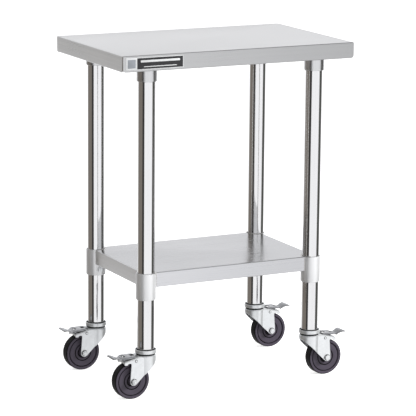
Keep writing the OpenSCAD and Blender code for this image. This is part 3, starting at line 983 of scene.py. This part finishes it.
def wheel_mesh():
    """Moulded wheel: rounded tread with a parting line, stepped rings on the faces, hub and bore."""
    low, high = local_box("wheel")
    r = (high.x - low.x) / 2
    half, hub = 12.5, high.y
    face = filleted([(8.0, hub, 0), (9.7, hub, 0.6), (10.5, 6.4, 0.8), (13.5, 6.4, 0.8),
                     (14.5, half - 0.6, 0.9), (18.9, half - 0.6, 0.9), (19.7, 9.4, 0.5),
                     (21.3, 9.4, 0.5), (22.0, half - 1.5, 0.7),
                     (r - 10.1, half - 1.2, 0.6), (r - 9.5, 8.4, 0.5), (r - 7.9, 8.4, 0.5),
                     (r - 7.2, half, 0.9), (r - 3.6, half, 0.4)], closed=False, steps=3)
    shoulder = arc(r - 3.2, half - 3.2, 3.2, 90, 8, 8)
    tread = [(r, half - 4.2), (r, 0.5), (r, 0.35), (r - 0.25, 0.2)]
    upper = face + shoulder + tread
    outline = upper + [(radius, -y) for radius, y in reversed(upper)]

    def dark(radius, y):
        """The tread, and the recess round the hub and the ring grooves, which take the tread's black as
        painted shade.
        """
        return radius > r - 1.6 or (10.2 < radius < r - 7 and abs(y) < 10.6)

    mesh = lathe("wheel", outline, 128, kinds=marked(outline, dark))
    return smoothed(moved(mesh, crosswise(TRAIL, AXLE_Z)), 40)


def bushing_mesh():
    low, high = local_box("wheel_bushing")
    mesh = lathe("bushing", ring_outline(AXLE_R + 0.03, 8.0, low.y, high.y, 0.3), 64)
    return smoothed(moved(mesh, crosswise(TRAIL, AXLE_Z)))


def pin_mesh():
    """Brake pin with two domed rivet heads."""
    flatness = 0.38
    dome = [(radius, FORK_HALF + (y - FORK_HALF) * flatness)
            for radius, y in arc(0, FORK_HALF + 0.02, RIVET_R, 0, 90, 6)]
    upper = [(PIN_R, FORK_HALF)] + dome[:-1] + [(0.0, dome[-1][1])]
    outline = [(radius, -y) for radius, y in reversed(upper)] + upper
    # painted shade: a dark rim round each rivet head
    mesh = lathe("brake_pin", outline, 40, kinds=marked(outline, lambda radius, y: radius > 2.4))
    return smoothed(moved(mesh, crosswise(PIN_X, PIN_Z)))


def pedal_section(x, z, half, skirt, curl):
    """Ring in Y and Z at x: a pressed strip with turned-down sides of depth skirt, bent upwards by curl."""
    thick, side_t, r = 2.0, 1.8, 2.2
    foot = z - max(skirt, r + 0.1)
    left, right = -half + r, half - r
    outer = arc(left, z - r, r, 180, 90, 5) + arc(right, z - r, r, 90, 0, 5)
    inner = arc(right, z - r, r - side_t, 0, 90, 5) + arc(left, z - r, r - side_t, 90, 180, 5)
    inner = [(half - side_t, foot)] + inner + [(-half + side_t, foot)]
    ring = [(-half, foot)] + outer + [(half, foot)] + [(y, min(h, z - thick)) for y, h in inner]
    return [(x, y, h + curl * (abs(y) / half) ** 2) for y, h in ring]


def pedal_mesh():
    """Brake pedal: a plate with side skirts and two windows, a dipped neck and a flared, raised tip."""
    tip = PEDAL_TIP
    heights = [(PEDAL_START, 105.0), (33, 105.2), (57, 104.2), (61, 103.4), (65, 100.9), (68, 100.1),
               (71, 100.5), (76, 102.3), (81, 104.4), (85, 105.4), (89, 105.6), (tip, 104.8)]
    widths = [(PEDAL_START, 16.0), (31, 17.6), (60, 20.3), (63, 20.2), (66, 18.6), (69, 15.6), (72, 14.2),
              (77, 14.6), (83, 17.0), (88, 19.8), (90, 20.5), (92, 20.2), (tip, 18.4)]
    skirts = [(PEDAL_START, 2.3), (32, 2.9), (54, 2.9), (60, 2.3), (tip, 2.3)]
    curls = [(PEDAL_START, 0.0), (66, 0.0), (78, 0.5), (tip, 0.9)]
    xs = [PEDAL_START + 1.0 * k for k in range(int(tip - PEDAL_START) + 1)]
    xs = sorted(set(xs + [30.2, 59.5, 60.5, 91.5, 92.5, tip]))
    sheet = loft("pedal_sheet", [pedal_section(x, along(heights, x, True), along(widths, x, True),
                                               along(skirts, x), along(curls, x)) for x in xs])

    def hanging(corners, y0, y1):
        return plate("tab", filleted(corners), y0, y1, 0.3, "XZ")

    ear_top, x0, x1 = 104.2, 30.4, 37.6
    ear = [(x0, ear_top, 0), (x0, PIN_Z, 0)]
    ear += [(x, z, 0) for x, z in arc(PIN_X, PIN_Z, RIVET_R, 180, 360, 12)[1:-1]]
    ear += [(x1, PIN_Z, 0), (x1, ear_top, 0)]
    shoe = [(50.5, 103.2, 0), (50.5, 92.6, 0.8), (52.2, 91.6, 0.8), (55.5, 91.8, 1.2), (55.5, 103.0, 0)]
    bore_r = PIN_R + 0.05
    hole = lathe("pin_hole", [(0, -30), (bore_r, -30), (bore_r, 30), (0, 30)], 40)

    def window(x0, x1, half):
        return plate("window", rectangle(x0, x1, -half, half, 1.6, 5), 101.7, 110, 0.01)

    tabs = [hanging(ear, 8.6, 11.2), hanging(ear, -11.2, -8.6), hanging(shoe, -7, 7)]
    cuts = [moved(hole, crosswise(PIN_X, PIN_Z))] + [window(*sizes) for sizes in PEDAL_WINDOWS]
    steps = [("UNION", tab) for tab in tabs] + [("DIFFERENCE", cut) for cut in cuts]
    mesh = solid("brake_pedal", [sheet] + steps)
    mesh = softened(mesh, 0.25, 2, 55)
    # painted shade: faces of the inner part that do not face up (window walls, underside, ears, shoe) are
    # dark
    for face in mesh.polygons:
        x, y, z = face.center / MM
        if face.normal.z < 0.5 and x < 62 and abs(y) < 17 and z < 104.2:
            face.material_index = 1
    return smoothed(mesh, 35)


def casters():
    # the second material is painted shade for the caster's gaps and edges
    zinc_and_shade = [ZINC, PAINTED_SHADE]
    parts = [("cup_ring", cup_mesh(), zinc_and_shade, "table", "zinc_plate", "caster_cup"),
             ("stem_pin", stem_mesh(), [ZINC], "table", "zinc_plate", "caster_stem"),
             ("fork_pressing", fork_mesh(), zinc_and_shade, "swivel", "zinc_plate", "fork"),
             ("axle_bolt_hex", bolt_mesh(), zinc_and_shade, "swivel", "zinc_plate", "axle_bolt"),
             ("axle_nut_hex", nut_mesh(), zinc_and_shade, "swivel", "zinc_plate", "axle_nut"),
             ("brake_pin_rivet", pin_mesh(), zinc_and_shade, "swivel", "zinc_plate", "brake_pin"),
             ("wheel_moulding", wheel_mesh(), [FACE, TREAD], "wheel_set", "wheel_rubber", "wheel"),
             ("wheel_bushing_sleeve", bushing_mesh(), [BALL_STEEL], "wheel_set", "bearing_steel",
              "wheel_bushing"),
             ("brake_pedal_pressing", pedal_mesh(), [PEDAL_ZINC, PAINTED_SHADE], "pedal", "pedal_steel",
              "brake_pedal")]
    for corner in CORNERS:
        for name, mesh, materials, body, slot, node in parts:
            body_name = body if body == "table" else f"{body}_{corner}"
            piece(f"{name}_{corner}", mesh, materials, body_name, [f"{node}_{corner}"],
                  caster_place(corner))
        balls = frame["nodes"][f"bearing_balls_{corner}"]
        balls.data.materials.clear()
        balls.data.materials.append(BALL_STEEL)


# ---------------------------------------------------------------- studio

def studio():
    """Pale floor, a soft light, and a surround with the dark and light bands that polished tube shows."""
    reach = 30.0 / MM
    corners = [(-reach, -reach, 0), (reach, -reach, 0), (reach, reach, 0), (-reach, reach, 0)]
    mesh = mesh_from("floor", corners, [[0, 1, 2, 3]])
    mesh.materials.append(FLOOR)
    floor = in_scene("floor", mesh)
    floor.visible_glossy = False
    floor.visible_diffuse = False

    world = bpy.data.worlds.new("studio")
    bpy.context.scene.world = world
    world.use_nodes = True
    tree = world.node_tree
    add = adder(tree)

    def faded(value, start, end):
        """0 at start, 1 at end, and eased between."""
        settings = {1: start, 2: end, 3: 0.0, 4: 1.0, "interpolation_type": "SMOOTHSTEP"}
        return add("ShaderNodeMapRange", settings, i0=value).outputs[0]

    def mixed(share, a, b):
        """A blend by share from a to b. Each is a colour or another node's output."""
        made = add("ShaderNodeMix", {"data_type": "RGBA"}, i0=share)
        for k, colour in ((6, a), (7, b)):
            if isinstance(colour, tuple):
                made.inputs[k].default_value = colour + (1.0,)
            else:
                tree.links.new(colour, made.inputs[k])
        return made.outputs[2]

    direction = add("ShaderNodeTexCoord").outputs["Generated"]
    parts = add("ShaderNodeSeparateXYZ", None, i0=direction)
    angle = add("ShaderNodeMath", {"operation": "ARCTAN2"}, i0=parts.outputs[1], i1=parts.outputs[0])
    turn = add("ShaderNodeMapRange", {1: -math.pi, 2: math.pi}, i0=angle.outputs[0])
    ramp = add("ShaderNodeValToRGB", None, i0=turn.outputs[0])
    white, grey = (1.0, 1.0, 1.02), (0.20, 0.18, 0.16)
    black, dim = (0.040, 0.038, 0.038), (0.085, 0.085, 0.08)
    # colour by compass angle, in degrees from +X
    bands = [(-177, grey), (-171, grey), (-168, black), (-145, black), (-140, white), (-38, white),
             (-33, dim), (2, dim), (16, (0.3, 0.3, 0.3)), (30, white), (104, white), (124, grey), (180, grey)]
    stops = ramp.color_ramp.elements
    while len(stops) > 1:
        stops.remove(stops[-1])
    for i, (degrees, colour) in enumerate(bands):
        stop = stops[0] if i == 0 else stops.new((degrees + 180) / 360)
        stop.position = (degrees + 180) / 360
        stop.color = colour + (1.0,)
    height = parts.outputs[2]
    above = mixed(faded(height, 0.40, 0.62), ramp.outputs[0], (0.34, 0.34, 0.35))
    shiny = mixed(faded(height, 0.90, 0.97), above, (0.95, 0.95, 0.95))
    lean = add("ShaderNodeVectorMath", {"operation": "DOT_PRODUCT", 1: (0.62, -0.40, 0.68)}, i0=direction)
    soft = mixed(faded(lean.outputs[1], -0.9, 0.9), (0.20, 0.20, 0.20), (0.85, 0.85, 0.85))
    rays = add("ShaderNodeLightPath")
    colour = mixed(rays.outputs["Is Glossy Ray"], soft, shiny)
    colour = mixed(rays.outputs["Is Camera Ray"], colour, (1.0, 1.0, 1.0))
    tree.links.new(colour, tree.nodes["Background"].inputs["Color"])

    light = bpy.data.lights.new("key", "AREA")
    light.shape, light.size, light.energy = "SQUARE", 0.8, 125
    key = in_scene("key", light)
    key.location = (2.7, -1.9, 1.9)
    key.rotation_euler = (Vector((0, 0, 0.3)) - key.location).to_track_quat("-Z", "Y").to_euler()
    key.visible_glossy = False


def camera():
    """The viewpoint: from the front left and a little above, with a long lens."""
    yaw, pitch, roll = math.radians(-26.94), math.radians(11.75), math.radians(0.53)
    back = Vector((math.sin(yaw) * math.cos(pitch), -math.cos(yaw) * math.cos(pitch), math.sin(pitch)))
    right = Vector((math.cos(yaw), math.sin(yaw), 0))
    up = back.cross(right)
    side = math.cos(roll) * right + math.sin(roll) * up
    top = math.cos(roll) * up - math.sin(roll) * right
    data = bpy.data.cameras.new("camera")
    data.sensor_width, data.lens = 36.0, 211.7
    obj = in_scene("camera", data)
    obj.matrix_world = Matrix((side, top, back)).transposed().to_4x4()
    obj.location = (-2.636, -5.213, 1.626)
    bpy.context.scene.camera = obj


camera()
studio()
worktop()
undershelf()
legs()
sockets()
collars()
set_screws()
welds()
channels()
label()
casters()
bpy.context.scene.view_settings.view_transform = "Standard"
